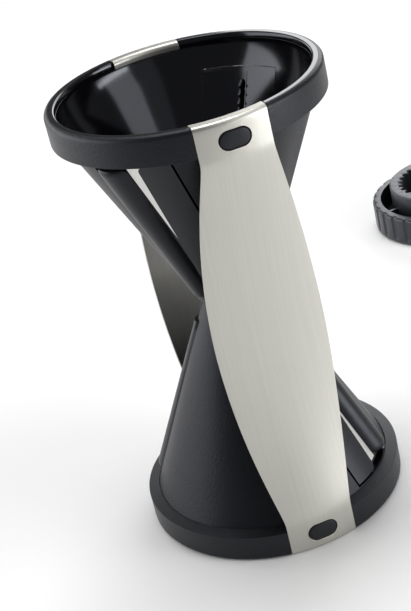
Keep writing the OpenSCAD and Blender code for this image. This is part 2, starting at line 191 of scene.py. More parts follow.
class HolderSizes(PropertyGroup):
    """Sizes of the food holder, which lies upside down."""

    holder_d: size("Skirt diameter", "Outside diameter of the knurled skirt", 59.98)
    holder_h: size("Skirt height", "Height of the skirt as it lies", extent("holder_cap", 2))
    holder_wall: size("Skirt wall", "Thickness of the skirt", 3.4)
    holder_top: size("Top", "Thickness of the cap's top, which lies on the table", 2.4)
    holder_edge: size("Edge", "Radius that rounds the skirt's edges", 1.2)
    flutes: IntProperty(name="Flutes", description="Number of flutes round the skirt", default=30)
    flute_depth: size("Flute depth", "Depth of a flute", 0.7)
    flute_w: size("Flute width", "Width of a flute", 2.4)
    panel_crown: size("Panel crown", "How far the skirt swells between two flutes", 0.2)
    sleeve_d: size("Sleeve diameter", "Outside diameter of the sleeve", extent("holder_sleeve", 0))
    sleeve_bore: size("Sleeve bore", "Diameter at the bottom of the sleeve's inner teeth", 36.4)
    sleeve_h: size("Sleeve height", "Height of the sleeve's end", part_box("holder_sleeve")[1].z / MM)
    sleeve_edge: size("Sleeve edge", "Radius that rounds the sleeve's end", 0.5)
    tooth_depth: size("Tooth depth", "Depth of the sleeve's inner teeth", 1.6)
    teeth: IntProperty(name="Teeth", description="Number of inner teeth", default=30)
    rib_t: size("Rib", "Thickness of the ribs between skirt and sleeve", 1.2)
    ribs: IntProperty(name="Ribs", description="Number of those ribs", default=6)
    place_x: size("Place sideways", "Place of the holder on the table, sideways", 133)
    place_y: size("Place behind", "Place of the holder on the table, behind the slicer", 134)


class FinishColours(PropertyGroup):
    """Colours of the finishes."""

    body: colour("Body", "Textured outside of the funnels", "#0d0e12")
    inside: colour("Inside", "Polished inside of the funnels, rims and carriers", "#060609")
    rim: colour("Rims", "Textured rims", "#111214")
    carrier: colour("Carriers", "Satin lips and panels", "#0d0d10")
    stud: colour("Studs", "Matt studs", "#151617")
    steel: colour("Bands", "Brushed steel", "#c2c1ba")
    blade: colour("Blades", "Ground steel", "#d6d5d2")
    # Painted shade: the combs' steel is coloured near black to stand for the dark inside of the funnel,
    # not for a finish of the steel
    comb: colour("Combs", "Steel painted dark as shade", "#1c1c1f")
    holder: colour("Holder", "Matt holder", "#232428")
    table: colour("Table", "White table", "#f6f6f6")


class SlicerSettings(PropertyGroup):
    """All settings of the slicer."""

    body: PointerProperty(type=BodySizes)
    rims: PointerProperty(type=RimSizes)
    bands: PointerProperty(type=BandSizes)
    stations: PointerProperty(type=StationSizes)
    holder: PointerProperty(type=HolderSizes)
    finishes: PointerProperty(type=FinishColours)


class Measures:
    """Sizes that several pieces share, worked out from the settings."""

    def __init__(self, slicer):
        body, rims, bands, stations = slicer.body, slicer.rims, slicer.bands, slicer.stations
        self.body, self.rims, self.bands, self.stations = body, rims, bands, stations
        self.holder, self.finishes = slicer.holder, slicer.finishes
        self.half = body.height / 2
        self.rim_r = body.rim_d / 2
        self.waist_r = body.waist_d / 2
        self.rim_inner_r = self.rim_r - rims.rim_wall
        self.mouth_r = self.rim_inner_r - body.fit_gap
        self.mouth_inner_r = self.mouth_r - body.mouth_wall
        self.cone_end = self.half - rims.rim_h - rims.shoulder_h
        self.shoulder_r = self.rim_r - rims.shoulder_w
        self.slope = (self.shoulder_r - body.fit_gap - self.waist_r) / self.cone_end
        self.level = math.sqrt(1 + self.slope ** 2)
        self.mouth_start = (self.mouth_r - self.waist_r) / self.slope
        self.station_top = self.cone_end - stations.rim_margin
        self.wall_level = body.wall * self.level
        self.blade_low = stations.slot_low + stations.blade_end_gap
        self.blade_top = self.station_top - stations.blade_end_gap
        self.skin_depth = stations.blade_depth + stations.blade_t + body.fit_gap
        self.mouth_end = self.half - rims.flange_t - body.fit_gap
        self.recess_r = self.rim_r - bands.band_t - bands.gap
        self.recess_end = bands.band_t + bands.gap
        self.recess_w = bands.end_w / 2 + bands.gap
        self.stud_flat = (bands.stud_w - bands.stud_h) / 2

    def cone_r(self, z):
        """Radius of a funnel's outside at heights above the waist."""
        return self.waist_r + self.slope * z

    def cone_y(self, x, z, depth):
        """The cone's -Y side, a level depth below its outside: minus the root of r^2 - x^2."""
        return -np.sqrt((self.cone_r(z) - depth) ** 2 - x ** 2)

    def insert_edges(self, z, grow):
        """Edges of an insert at heights z: the left straight, the right upright above its taper."""
        s = self.stations
        low = s.waist_margin - grow
        run = (z - low) / (self.station_top + grow - low)
        left = -grow - s.lip_waist_w - (s.lip_mouth_w - s.lip_waist_w) * run
        taper = np.clip((z - low) / (s.panel_taper_h - low), 0, 1)
        return left, grow + s.panel_waist_w + (s.panel_w - s.panel_waist_w) * taper

    def slot_edge(self, z):
        """Edge of the lip beside the panel: upright below the slot, then straight to the mouth end."""
        s = self.stations
        run = np.maximum(0, z - s.slot_low) / (self.station_top - s.slot_low)
        return -s.slot_gap - (s.slot_mouth_w - s.slot_gap) * run

    def blade_edge(self, z):
        """Cutting edge of a blade, a slit's width from the lip."""
        return self.slot_edge(z) + self.stations.blade_slit

    def lip_y(self, x, z):
        """The lip's rounded back: a slim cone along the funnel, whose level section is an ellipse.

        Its axis runs through two points that lie under the crest by the radius, measured level.
        """
        s = self.stations
        run = (z - s.waist_margin) / (self.station_top - s.waist_margin)
        ends = (
            (s.waist_margin, -s.crest_waist_w, s.lip_waist_raise, s.lip_waist_r),
            (self.station_top, -s.crest_mouth_w, s.lip_mouth_raise, s.lip_mouth_r),
        )
        axis_y = [self.cone_y(x0, z0, 0) - raised + r0 * self.level for z0, x0, raised, r0 in ends]
        middle_y = axis_y[0] + (axis_y[1] - axis_y[0]) * run
        middle_x = ends[0][1] + (ends[1][1] - ends[0][1]) * run
        r = s.lip_waist_r + (s.lip_mouth_r - s.lip_waist_r) * run
        return middle_y - self.level * np.sqrt(np.maximum(r ** 2 - (x - middle_x) ** 2, 0))

    def in_half(self, points, upper):
        """Points given above the waist, moved to the upper half or turned over into the lower one."""
        side = 1 if upper else -1
        return points * (side, 1, side) + (0, 0, self.half)

    def at_station(self, points, upper, first):
        """Points of a station that faces -Y, turned to its place in its half."""
        angle = -self.stations.slot_turn + (0 if first else math.pi)
        return self.in_half(points @ turn_about_z(angle), upper)

    def at_end(self, points, top, rear=False):
        """Points given at the front of the base, turned over to the top and round to the rear."""
        if top:
            points = points * (-1, 1, -1) + (0, 0, self.body.height)
        return points * (-1, -1, 1) if rear else points


# Surfaces on grids

def turn_about_z(angle):
    """Matrix that turns row vectors about Z."""
    c, s = math.cos(angle), math.sin(angle)
    return np.array([[c, s, 0], [-s, c, 0], [0, 0, 1]])


def arc(x, y, r, start, end, steps=6):
    """Points of a circular arc between two angles in degrees: centre plus r times cosine and sine."""
    a = np.radians(np.linspace(start, end, steps + 1))
    return np.stack([x + r * np.cos(a), y + r * np.sin(a)], axis=1)


def around(r, angle, z):
    """Points at radius r and height z, at angles measured from -Y towards +X."""
    r, angle, z = np.broadcast_arrays(r, angle, z)
    return np.stack([r * np.sin(angle), -r * np.cos(angle), z], axis=-1)


def grid_quads(rows, cols):
    """Numbers of the four corners of each cell of a grid that is counted row by row."""
    n = np.arange(rows * cols).reshape(rows, cols)
    return np.stack([n[:-1, :-1], n[:-1, 1:], n[1:, 1:], n[1:, :-1]], axis=-1)


def all_cells(points):
    """A true mark for every cell of a grid of points."""
    return np.ones((points.shape[0] - 1, points.shape[1] - 1), bool)


def open_grid(points, keep=None, finish=0):
    """A surface through a grid of points, less the cells that keep leaves out."""
    if keep is None:
        keep = all_cells(points)
    quads = grid_quads(*points.shape[:2])[keep]
    return points.reshape(-1, 3), quads, np.broadcast_to(finish, keep.shape)[keep]


def thick_grid(outer, inner, keep=None, ring=False, finishes=(0, 0)):
    """A closed wall between two grids of one layout: both faces of the kept cells, and their sides.

    A side is made wherever a kept cell has no kept neighbour. A ring's last column meets its first.
    """
    rows, cols = outer.shape[:2]
    if keep is None:
        keep = all_cells(outer)
    faces = grid_quads(rows, cols)[keep]
    n = np.arange(rows * cols).reshape(rows, cols)
    above = np.pad(keep, ((1, 1), (0, 0)))
    level = above[:-1] != above[1:]
    beside = np.pad(keep, ((0, 0), (1, 1)), "wrap" if ring else "constant")
    upright = beside[:, :-1] != beside[:, 1:]
    starts = np.concatenate([n[:, :-1][level], n[:-1][upright]])
    ends = np.concatenate([n[:, 1:][level], n[1:][upright]])
    far = rows * cols
    sides = np.stack([starts, ends, ends + far, starts + far], axis=1)
    points = np.concatenate([outer.reshape(-1, 3), inner.reshape(-1, 3)])
    quads = np.concatenate([faces, faces + far, sides])
    finish = np.repeat([finishes[0], finishes[1], finishes[1]], [len(faces), len(faces), len(sides)])
    return points, quads, finish


def soften_edges(piece, width, angle=CREASE):
    """Rounds the edges of a piece that turn more than an angle."""
    bevel = piece.modifiers.new("Soft edges", "BEVEL")
    bevel.width = width
    bevel.segments = 2
    bevel.limit_method = "ANGLE"
    bevel.angle_limit = angle
    bevel.harden_normals = True


def make_piece(name, patches, materials, nodes, body="slicer", bevel=0.0):
    """Joins patches into one mesh, merged and with faces outwards, puts it under its body's empty and
    hides the imported nodes that it stands for.
    """
    counts = [len(points) for points, _, _ in patches]
    starts = np.cumsum([0] + counts[:-1])
    points = np.concatenate([p for p, _, _ in patches])
    quads = np.concatenate([q + start for (_, q, _), start in zip(patches, starts)])
    finish = np.concatenate([f for _, _, f in patches])
    mesh = bpy.data.meshes.new(name)
    mesh.vertices.add(len(points))
    mesh.vertices.foreach_set("co", points.astype(np.float32).ravel())
    mesh.loops.add(quads.size)
    mesh.loops.foreach_set("vertex_index", quads.astype(np.int32).ravel())
    mesh.polygons.add(len(quads))
    mesh.polygons.foreach_set("loop_start", np.arange(0, quads.size, 4, dtype=np.int32))
    mesh.polygons.foreach_set("material_index", finish.astype(np.int32))
    mesh.update(calc_edges=True)
    shell = bmesh.new()
    shell.from_mesh(mesh)
    bmesh.ops.remove_doubles(shell, verts=shell.verts, dist=MERGE)
    bmesh.ops.dissolve_degenerate(shell, edges=shell.edges, dist=MERGE)
    bmesh.ops.recalc_face_normals(shell, faces=shell.faces)
    shell.to_mesh(mesh)
    shell.free()
    mesh.shade_smooth()
    mesh.set_sharp_from_angle(angle=CREASE)
    for material in materials:
        mesh.materials.append(material)
    piece = bpy.data.objects.new(name, mesh)
    bpy.context.scene.collection.objects.link(piece)
    if bevel:
        soften_edges(piece, bevel)
    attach(piece, body)
    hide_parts(*nodes)
    return piece


# Finishes

# Tint of the gloss on the black plastics, which looks bluish
COOL = (0.86, 0.89, 1, 1)
# Numbers of a Mix node's sockets for colours, whose names repeat
FACTOR, DARK, LIGHT, MIXED = 0, 6, 7, 2


def add_node(tree, kind, inputs=None, **settings):
    """Adds a node, sets its properties, and fills or links the inputs that are given."""
    node = tree.nodes.new(kind)
    for name, value in settings.items():
        setattr(node, name, value)
    for name, value in (inputs or {}).items():
        if isinstance(value, NodeSocket):
            tree.links.new(value, node.inputs[name])
        else:
            node.inputs[name].default_value = value
    return node


def new_material(name):
    """An empty material, its node tree, and a point's place on the object."""
    material = bpy.data.materials.new(name)
    material.use_nodes = True
    tree = material.node_tree
    tree.nodes.clear()
    return material, tree, add_node(tree, "ShaderNodeTexCoord").outputs["Object"]


def shade(colour_value, factor):
    """A colour made lighter or darker by a factor, with full alpha."""
    return tuple(min(1, c * factor) for c in colour_value) + (1,)


def textured_plastic(name, base, grain, depth, roughness, specular):
    """Plastic moulded against a spark-eroded tool: matt, with fine raised specks that glint apart.

    Real specks are about 0.1 mm wide; these are drawn coarser so that they show in the picture.
    """
    material, tree, place = new_material(name)
    specks = add_node(tree, "ShaderNodeTexNoise", {"Vector": place, "Scale": 1 / grain, "Detail": 2.0})
    clouds = add_node(tree, "ShaderNodeTexNoise", {
        "Vector": place, "Scale": 1 / (40 * grain), "Detail": 3.0
    })
    tint = add_node(tree, "ShaderNodeMix", {
        FACTOR: specks.outputs["Fac"], DARK: shade(base, 0.6), LIGHT: shade(base, 1.45)
    }, data_type="RGBA")
    rough = add_node(tree, "ShaderNodeMapRange", {
        "Value": clouds.outputs["Fac"], "To Min": roughness - 0.06, "To Max": roughness + 0.06
    })
    relief = add_node(tree, "ShaderNodeBump", {
        "Height": specks.outputs["Fac"], "Strength": 0.8, "Distance": depth
    })
    shader = add_node(tree, "ShaderNodeBsdfPrincipled", {
        "Base Color": tint.outputs[MIXED], "Roughness": rough.outputs["Result"], "IOR": 1.5,
        "Specular IOR Level": specular, "Specular Tint": COOL, "Normal": relief.outputs["Normal"],
    })
    add_node(tree, "ShaderNodeOutputMaterial", {"Surface": shader.outputs["BSDF"]})
    return material


def polished_plastic(name, base):
    """ABS moulded against a polished tool: near black, with a clear gloss and a faint ripple."""
    material, tree, place = new_material(name)
    ripple = add_node(tree, "ShaderNodeTexNoise", {
        "Vector": place, "Scale": 1 / (14 * MM), "Detail": 1.0
    })
    haze = add_node(tree, "ShaderNodeTexNoise", {
        "Vector": place, "Scale": 1 / (5 * MM), "Detail": 4.0
    })
    tint = add_node(tree, "ShaderNodeMix", {
        FACTOR: haze.outputs["Fac"], DARK: shade(base, 0.8), LIGHT: shade(base, 1.25)
    }, data_type="RGBA")
    rough = add_node(tree, "ShaderNodeMapRange", {
        "Value": haze.outputs["Fac"], "To Min": 0.1, "To Max": 0.16
    })
    relief = add_node(tree, "ShaderNodeBump", {
        "Height": ripple.outputs["Fac"], "Strength": 0.15, "Distance": 0.1 * MM
    })
    shader = add_node(tree, "ShaderNodeBsdfPrincipled", {
        "Base Color": tint.outputs[MIXED], "Roughness": rough.outputs["Result"], "IOR": 1.52,
        "Specular Tint": COOL, "Normal": relief.outputs["Normal"],
    })
    add_node(tree, "ShaderNodeOutputMaterial", {"Surface": shader.outputs["BSDF"]})
    return material


def brushed_steel(name, base, streak, run, roughness):
    """Stainless steel brushed along its length: long fine streaks that spread highlights sideways.

    Real streaks are about 0.05 mm wide; these are drawn coarser so that they show in the picture.
    """
    material, tree, place = new_material(name)
    along = add_node(tree, "ShaderNodeMapping", {
        "Vector": place, "Scale": (1 / streak, 1 / run, 1 / run)
    }, vector_type="POINT")
    streaks = add_node(tree, "ShaderNodeTexNoise", {
        "Vector": along.outputs["Vector"], "Scale": 1.0, "Detail": 3.0, "Roughness": 0.6
    })
    smears = add_node(tree, "ShaderNodeTexNoise", {
        "Vector": place, "Scale": 1 / (18 * MM), "Detail": 2.0
    })
    tint = add_node(tree, "ShaderNodeMix", {
        FACTOR: streaks.outputs["Fac"], DARK: shade(base, 0.86), LIGHT: shade(base, 1.1)
    }, data_type="RGBA")
    grit = add_node(tree, "ShaderNodeMapRange", {
        "Value": streaks.outputs["Fac"], "To Min": roughness - 0.05, "To Max": roughness + 0.05
    })
    rough = add_node(tree, "ShaderNodeMath", {
        0: smears.outputs["Fac"], 1: 0.08, 2: grit.outputs["Result"]
    }, operation="MULTIPLY_ADD")
    relief = add_node(tree, "ShaderNodeBump", {
        "Height": streaks.outputs["Fac"], "Strength": 0.12, "Distance": 0.02 * MM
    })
    shader = add_node(tree, "ShaderNodeBsdfPrincipled", {
        "Base Color": tint.outputs[MIXED], "Metallic": 1.0, "Roughness": rough.outputs["Value"],
        "Normal": relief.outputs["Normal"],
    })
    add_node(tree, "ShaderNodeOutputMaterial", {"Surface": shader.outputs["BSDF"]})
    return material


def white_table(name, base):
    """White laminate: matt and even, so that it shows only light and shadow."""
    material, tree, place = new_material(name)
    cloud = add_node(tree, "ShaderNodeTexNoise", {
        "Vector": place, "Scale": 1 / (300 * MM), "Detail": 2.0
    })
    tint = add_node(tree, "ShaderNodeMix", {
        FACTOR: cloud.outputs["Fac"], DARK: shade(base, 0.99), LIGHT: shade(base, 1.01)
    }, data_type="RGBA")
    matt = add_node(tree, "ShaderNodeBsdfDiffuse", {"Color": tint.outputs[MIXED]})
    add_node(tree, "ShaderNodeOutputMaterial", {"Surface": matt.outputs["BSDF"]})
    return material


# Pieces

def window_heights(m, grow, extra=()):
    """Heights through an insert's outline: even steps, the end of its taper, and any extra ones."""
    s = m.stations
    steps = np.linspace(s.waist_margin - grow, m.station_top + grow, 40)
    return np.unique(np.round(np.concatenate([steps, [s.panel_taper_h], extra]), 9))


def funnel_patch(m, upper):
    """A funnel with two windows, as one grid outside and one inside.

    Rows climb from the axis at the waist to the mouth. Columns are angles, which run evenly between
    the edges of the windows at each height. An edge's angle is the arc sine of its x over the radius.
    """
    body, s = m.body, m.stations
    z = window_heights(m, s.groove)
    peg_r = body.peg_d / 2 + (0 if upper else body.fit_gap)
    peg_z = -body.peg_len if upper else body.peg_len + body.fit_gap
    inner_end = (m.mouth_inner_r - m.waist_r + m.wall_level) / m.slope
    outer_r = np.concatenate([
        [0, peg_r, peg_r, m.waist_r], m.cone_r(z), [m.mouth_r, m.mouth_r]
    ])
    outer_z = np.concatenate([[peg_z, peg_z, 0, 0], z, [m.mouth_start, m.mouth_end]])
    floor_r = m.cone_r(body.floor_t) - m.wall_level
    floor_rows = 4
    inner_r = np.concatenate([
        np.linspace(0, floor_r, floor_rows), m.cone_r(z) - m.wall_level,
        [m.mouth_inner_r, m.mouth_inner_r],
    ])
    inner_z = np.concatenate([np.full(floor_rows, body.floor_t), z, [inner_end, m.mouth_end]])
    window_z = np.clip(outer_z, z[0], z[-1])
    left, right = m.insert_edges(window_z, s.groove)
    cells = [24, 14, 48, 14, 24]

    def angles(depth):
        """Angles of all columns: wall, window, wall, window and wall."""
        r = m.cone_r(window_z) - depth
        start = np.arcsin(left / r) - s.slot_turn
        stop = np.arcsin(right / r) - s.slot_turn
        middle = (stop + start - math.pi) / 2
        marks = [middle, start, stop, start + math.pi, stop + math.pi, middle + 2 * math.pi]
        spans = [
            a[:, None] + (b - a)[:, None] * np.arange(n) / n
            for a, b, n in zip(marks[:-1], marks[1:], cells)
        ]
        return np.concatenate(spans + [marks[-1][:, None]], axis=1)

    outer_angles, inner_angles = angles(0), angles(m.wall_level)
    keep = all_cells(outer_angles)
    edges = np.cumsum([0] + cells)
    window = slice(floor_rows, floor_rows + len(z) - 1)
    keep[window, edges[1]:edges[2]] = False
    keep[window, edges[3]:edges[4]] = False
    outer = m.in_half(around(outer_r[:, None], outer_angles, outer_z[:, None]), upper)
    inner = m.in_half(around(inner_r[:, None], inner_angles, inner_z[:, None]), upper)
    return thick_grid(outer, inner, keep, ring=True, finishes=(0, 1))


def rim_patch(m, top):
    """A rim turned from its section, with two recesses for the bands.

    Rows follow the closed section, whose outer end is a quarter of an ellipse. In a recess it is cut
    back to the recess radius and height. The jump from cut columns to full ones makes the sides.
    """
    rims = m.rims
    edge = rims.inner_round
    end_w, end_h = rims.round_w, rims.round_h
    lean = math.degrees(math.atan(m.slope))
    mouth_top = m.mouth_inner_r + m.slope * rims.flange_t
    shoulder_cut = rims.rim_h + rims.shoulder_h * (m.rim_r - m.recess_r) / rims.shoulder_w
    outside = np.concatenate([
        arc(0, 0, 1, -90, 0, 10) * (end_w, end_h) + (m.rim_r - end_w, end_h),
        [
            [m.rim_r, rims.rim_h], [m.recess_r, shoulder_cut],
            [m.shoulder_r, rims.rim_h + rims.shoulder_h], [m.rim_inner_r, m.half - m.mouth_start],
            [m.rim_inner_r, rims.flange_t], [m.mouth_inner_r, rims.flange_t],
        ],
    ])
    inside = arc(mouth_top, edge, edge, 180 + lean, 270)
    section = np.concatenate([outside, inside, outside[:1]])
    finish = np.zeros((len(section) - 1, 1), int)
    # From the inner edge round to the end, a rim is polished
    finish[len(outside) - 1:] = 1
    r, z = section.T
    cut_r, cut_z = np.minimum(r, m.recess_r), np.maximum(z, m.recess_end)
    side = np.arcsin(m.recess_w / r)[:, None]
    cut_side = np.arcsin(m.recess_w / cut_r)[:, None]
    across = np.linspace(-1, 1, 17)
    run = np.linspace(0, 1, 81)
    halves = []
    for start in (0, math.pi):
        halves.append(around(cut_r[:, None], start + cut_side * across, cut_z[:, None]))
        halves.append(around(r[:, None], start + side + (math.pi - 2 * side) * run, z[:, None]))
    points = np.concatenate(halves + [halves[0][:, :1]], axis=1)
    return open_grid(m.at_end(points, top), finish=finish)


def band_patch(m, rear):
    """The middle surface of a band, with a hole for each stud.

    Rows follow the band from hook to hook: leg, fold, end, fold, tab and bow. The bow is a parabola
    that starts gently, over a small share of its length. Columns run from the edge to the hole, over
    the hole and on to the other edge. Across a row a point is moved in by the crown times r minus the
    root of r^2 - x^2, the roundness of the rim.
    """
    b = m.bands
    bow_start = 0.05
    end_z = b.band_t / 2
    mid_r = m.rim_r - end_z
    fold = end_z + b.fold_inner_r
    hook_r = m.mouth_inner_r - b.gap - end_z
    tab_end = m.rims.rim_h + m.rims.shoulder_h + b.tab
    hole_r = b.stud_h / 2 + b.gap
    hole = b.stud_from_end + hole_r * np.sin(np.radians(np.linspace(-90, 90, 21)))
    leg = np.linspace(b.hook_len, end_z + fold, 5)[:-1]
    bends = np.concatenate([
        arc(hook_r + fold, end_z + fold, fold, 180, 270, 8),
        arc(mid_r - fold, end_z + fold, fold, -90, 0, 8),
    ])
    tab = np.concatenate([hole, np.linspace(hole[-1], tab_end, 4)[1:]])
    t = np.linspace(0, 1, 49)[1:]
    ease = (1 + bow_start) * (1 - (1 - t) ** 2) * t / (t + bow_start)
    r = np.concatenate([
        np.full(len(leg), hook_r), bends[:, 0], np.full(len(tab), mid_r), mid_r - b.bow * ease
    ])
    z = np.concatenate([leg, bends[:, 1], tab, tab_end + (m.half - tab_end) * t])
    eased = np.concatenate([np.zeros(len(r) - len(t)), ease])
    half_w = (b.end_w + (b.mid_w - b.end_w) * eased) / 2
    crown = 1 - (1 - b.mid_crown) * eased
    first = len(leg) + len(bends)
    hole_x = np.full(len(r), m.stud_flat)
    rise = hole - b.stud_from_end
    hole_x[first:first + len(hole)] += np.sqrt(np.maximum(hole_r ** 2 - rise ** 2, 0))
    r, half_w, crown, hole_x = (np.concatenate([v, v[-2::-1]]) for v in (r, half_w, crown, hole_x))
    z = np.concatenate([z, m.body.height - z[-2::-1]])
    outside = np.linspace(1, 0, 15)[:-1]
    inside = np.linspace(1, -1, 9)
    left = hole_x[:, None] + (half_w - hole_x)[:, None] * outside
    middle = hole_x[:, None] * inside
    x = np.concatenate([-left, -middle, left[:, ::-1]], axis=1)
    r, z, crown = r[:, None], z[:, None], crown[:, None]
    y = -r + crown * (r - np.sqrt(r ** 2 - x ** 2))
    points = np.stack([x, y, np.broadcast_to(z, x.shape)], axis=-1)
    keep = all_cells(x)
    cells = slice(len(outside), len(outside) + len(inside) - 1)
    keep[first:first + len(hole) - 1, cells] = False
    keep[-first - len(hole) + 1:-first, cells] = False
    return open_grid(m.at_end(points, False, rear), keep)


def stud_patch(m, top, rear):
    """A domed stud: rings of its outline from the middle of the face, over the edge and to the back.

    A ring is two half circles joined by straight lines. Its depth is the sphere of the dome plus a
    quarter circle at the edge, and at the back the cylinder of the funnel's mouth.
    """
    b = m.bands
    radius = b.stud_h / 2
    edge = 0.5 * MM
    bend = np.linspace(-90, 90, 17)
    a = np.radians(np.concatenate([bend, bend + 180, [270]]))
    shift = m.stud_flat * np.repeat([1, -1, 1], [len(bend), len(bend), 1])
    turn_over = np.radians(np.linspace(0, 90, 6))
    flat = np.linspace(0, radius - edge, 6)[:-1]
    face = np.concatenate([flat, radius - edge + edge * np.sin(turn_over)])
    drop = np.concatenate([np.zeros(len(flat)), edge * (1 - np.cos(turn_over))])
    ring = np.concatenate([face, [radius, 0]])[:, None]
    x = shift + ring * np.cos(a)
    z = ring * np.sin(a)
    centre = b.stud_dome_r - m.rim_r - b.stud_proud
    y = centre - np.sqrt(b.stud_dome_r ** 2 - x ** 2 - z ** 2)
    y[:-2] += drop[:, None]
    y[-2:] = -np.sqrt((m.mouth_r + m.body.fit_gap) ** 2 - x[-2:] ** 2)
    points = np.stack([x, y, z + b.stud_from_end], axis=-1)
    return open_grid(m.at_end(points, top, rear))


def corner_inset(z, top, radius):
    """How far a rounded corner pulls an edge in at heights z: r minus the root of r^2 - h^2."""
    rise = np.clip(z - (top - radius), 0, radius)
    return radius - np.sqrt(np.maximum(radius ** 2 - rise ** 2, 0))


def corner_heights(top, radius):
    """Heights through a rounded corner, closer together towards its end."""
    return top - radius + radius * np.sin(np.radians(np.linspace(0, 90, 9)))


def station_wall(m, upper, first, x, z, outer_y, inner_y, keep=None, finishes=(0, 0)):
    """A station's wall between two depths over one grid of x and z, turned to its place."""
    grid_z = np.broadcast_to(z, x.shape)
    outer, inner = (
        m.at_station(np.stack([x, y, grid_z], axis=-1), upper, first) for y in (outer_y, inner_y)
    )
    return thick_grid(outer, inner, keep, finishes=finishes)


def carrier_patches(m, upper, first):
    """A carrier's panel with its end strip, the skin that closes it inside, and its rounded lip.

    All are depths y over x and z. The skin ends a hair short of the panel's inside, so that no two
    faces lie in one place. The lip's end at the mouth is domed by a quarter of an ellipse.
    """
    s = m.stations
    strip_end = s.waist_margin + s.end_strip
    z = window_heights(m, 0, [strip_end, *corner_heights(m.station_top, s.slot_round)])[:, None]
    left, right = m.insert_edges(z, 0)
    start = corner_inset(z, m.station_top, s.slot_round)
    run = np.linspace(0, 1, 13)
    x = np.concatenate([left + (start - left) * run[:-1], start + (right - start) * run], axis=1)
    keep = all_cells(x)
    keep[z[:-1, 0] >= strip_end - MERGE, :len(run) - 1] = False
    inside = m.cone_y(x, z, m.wall_level)
    panel = station_wall(m, upper, first, x, z, m.cone_y(x, z, 0), inside, keep, (0, 1))

    grow = s.groove - m.body.fit_gap
    z = window_heights(m, grow, [m.blade_low, m.blade_top])[:, None]
    left, right = m.insert_edges(z, grow)
    lip_edge, blade_edge = m.slot_edge(z), m.blade_edge(z)
    x = np.concatenate([
        left + (lip_edge - left) * run, blade_edge + (right - blade_edge) * run
    ], axis=1)
    keep = all_cells(x)
    along_blade = (z[:-1, 0] > m.blade_low - MERGE) & (z[1:, 0] < m.blade_top + MERGE)
    keep[along_blade, len(run) - 1] = False
    hair = 10 * MERGE
    inside = m.cone_y(x, z, m.wall_level - hair)
    skin = station_wall(m, upper, first, x, z, m.cone_y(x, z, m.skin_depth), inside, keep, (0, 1))

    top = m.station_top - s.lip_short
    z = np.unique(np.concatenate([
        np.linspace(s.waist_margin, top - s.lip_end_r, 40), corner_heights(top, s.lip_end_r)
    ]))[:, None]
    inset = corner_inset(z, top, s.lip_end_r)
    left = m.insert_edges(z, 0)[0] + inset
    x = left + (m.slot_edge(z) - inset - left) * np.linspace(0, 1, 29)
    under = m.cone_y(x, z, s.lip_depth)
    domed = s.dome_depth / s.lip_end_r * inset
    back = np.minimum(m.lip_y(x, z) + domed, under - s.lip_thin)
    return [panel, skin, station_wall(m, upper, first, x, z, back, under)]


def blade_patch(m, upper, first):
    """A blade between panel and skin: a strip of the cone, ground thin on its inside at the edge."""
    s = m.stations
    least_share = 0.15
    z = np.linspace(m.blade_low, m.blade_top, 40)[:, None]
    edge = m.blade_edge(z)
    x = edge + (s.blade_seat - edge) * np.linspace(0, 1, 13)
    full = np.clip((x - edge) / s.ground_w, least_share, 1)
    inside = m.cone_y(x, z, s.blade_depth + s.blade_t * full)
    return station_wall(m, upper, first, x, z, m.cone_y(x, z, s.blade_depth), inside)


def holder_centre(h):
    """Middle of the food holder on the table."""
    return np.array([h.place_x, h.place_y, 0])


def cap_patches(h):
    """The holder's cap: a section turned round the axis, with flutes cut into the skirt, and ribs.

    The skirt's radius at an angle is the full radius less the larger of two depths: a parabola that
    crowns the panel between two flutes, and the round notch of a flute. Both fade in above the table.
    """
    radius = h.holder_d / 2
    skirt_r = radius - h.holder_wall
    edge = h.holder_edge
    walls = np.linspace(edge, h.holder_h - edge, 9)[1:-1]
    section = np.concatenate([
        [[0, 0]], arc(radius - edge, edge, edge, -90, 0),
        np.stack([np.full(len(walls), radius), walls], axis=1),
        arc(radius - edge, h.holder_h - edge, edge, 0, 90),
        [
            [skirt_r, h.holder_h], [skirt_r, h.holder_top],
            [skirt_r / 2, h.holder_top], [0, h.holder_top],
        ],
    ])
    r, z = section[:, :1], section[:, 1:]
    per_flute = 20
    fade_h = 0.8 * MM
    angle = np.linspace(0, 2 * math.pi, h.flutes * per_flute + 1)
    pitch = 2 * math.pi / h.flutes
    offset = (np.mod(angle + pitch / 2, pitch) - pitch / 2) * radius
    notch = h.flute_depth * np.maximum(0, 1 - (2 * offset / h.flute_w) ** 2) ** 0.5
    crown = h.panel_crown * (2 * np.abs(offset) / (pitch * radius) - 1) ** 2
    fade = np.clip((z - edge) / fade_h, 0, 1) * (r > skirt_r)
    points = around(r - fade * np.maximum(notch, crown), angle, z) + holder_centre(h)
    patches = [open_grid(points)]
    sleeve_r = h.sleeve_d / 2
    reach = np.array([sleeve_r, skirt_r + edge / 2])
    height = np.array([h.holder_top / 2, h.holder_h - edge])[:, None]
    for i in range(h.ribs):
        middle = (i + 0.5) * 2 * math.pi / h.ribs
        across = np.array([math.cos(middle), math.sin(middle), 0]) * h.rib_t / 2
        sheet = around(reach, middle, height) + holder_centre(h)
        patches.append(thick_grid(sheet + across, sheet - across))
    return patches


